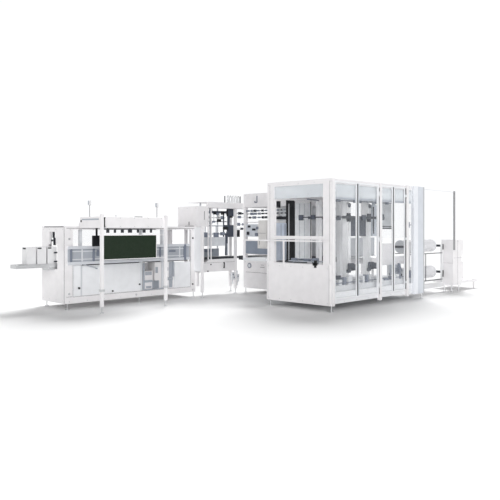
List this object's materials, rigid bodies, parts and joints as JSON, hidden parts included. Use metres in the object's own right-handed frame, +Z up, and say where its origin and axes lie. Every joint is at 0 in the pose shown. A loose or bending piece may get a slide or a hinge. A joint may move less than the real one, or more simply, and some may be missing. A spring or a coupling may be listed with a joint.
{
  "type": "stretch wrapping machine line",
  "caption": "Stretch wrapping line with a collating infeed, a transfer unit, a tall wrapping tower with hinged glass doors, a film unit and a discharge table.",
  "frame": {"origin": "on the floor, under the middle of the line's overall box", "axes": "+X along the flow of the packs from the infeed to the discharge, +Y away from the tower's doors, +Z up"},
  "size_m": [11.8, 5.24, 2.75],
  "materials": {
    "white_paint": "satin",
    "grey_paint": "satin",
    "dark_paint": "satin",
    "steel": "brushed",
    "belt": "matte",
    "dark_plastic": "matte",
    "carton": "gloss",
    "film": "gloss",
    "clear_pane": "clear",
    "dark_pane": "gloss"
  },
  "bodies": {
    "root": {"collator_beams": "white_paint", "collator_cabinet": "white_paint", "collator_columns": "grey_paint", "collator_drives": "white_paint", "collator_end_wall": "white_paint", "collator_panels": "white_paint", "collator_roof": "white_paint", "collator_stiles": "white_paint", "discharge_table": "steel", "door_hinges": "steel", "film_cabinet": "white_paint", "film_frame": "white_paint", "film_rails": "dark_paint", "film_rolls": "film", "guard_panes": "clear_pane", "guard_rail": "white_paint", "head_body": "white_paint", "head_cover": "white_paint", "head_panels": "grey_paint", "hood": "white_paint", "hood_guard_pane": "dark_pane", "hood_posts": "white_paint", "infeed_cartons": "carton", "infeed_conveyor": "steel", "levelling_feet": "steel", "operator_screen": "dark_plastic", "side_conveyor_bed": "belt", "side_conveyor_guide": "grey_paint", "side_table": "steel", "signal_masts": "steel", "tower_base_beams": "white_paint", "tower_bed": "grey_paint", "tower_carriage": "dark_paint", "tower_conveyor": "white_paint", "tower_curtain": "dark_plastic", "tower_headers": "grey_paint", "tower_inner_panels": "grey_paint", "tower_lift_columns": "white_paint", "tower_lower_panel": "white_paint", "tower_motors": "dark_paint", "tower_posts": "white_paint", "tower_rollers": "steel", "tower_roof": "white_paint", "tower_top_beams": "white_paint", "tower_window_rails": "white_paint", "transfer_belts": "belt", "transfer_body": "white_paint", "transfer_cylinders": "steel", "transfer_end_cabinet": "white_paint", "transfer_gantry": "dark_paint", "transfer_posts": "white_paint", "transfer_roof": "white_paint"},
    "door_1_leaf": {"door_1": "grey_paint", "door_1_pane": "clear_pane"},
    "door_2_leaf": {"door_2": "grey_paint", "door_2_pane": "clear_pane"},
    "door_3_leaf": {"door_3": "grey_paint", "door_3_pane": "clear_pane"},
    "door_4_leaf": {"door_4": "grey_paint", "door_4_pane": "clear_pane"}
  },
  "joints": [
    {"name": "door_1_hinge", "type": "hinge", "parent": "root", "child": "door_1_leaf", "pos_m": [-1.26, -2.61, 0.45], "axis": [0, 0, -1], "range_deg": [0, 90]},
    {"name": "door_2_hinge", "type": "hinge", "parent": "root", "child": "door_2_leaf", "pos_m": [0.38, -2.61, 0.45], "axis": [0, 0, 1], "range_deg": [0, 90]},
    {"name": "door_3_hinge", "type": "hinge", "parent": "root", "child": "door_3_leaf", "pos_m": [0.48, -2.61, 0.45], "axis": [0, 0, -1], "range_deg": [0, 90]},
    {"name": "door_4_hinge", "type": "hinge", "parent": "root", "child": "door_4_leaf", "pos_m": [1.546, -2.61, 0.45], "axis": [0, 0, 1], "range_deg": [0, 90]}
  ]
}
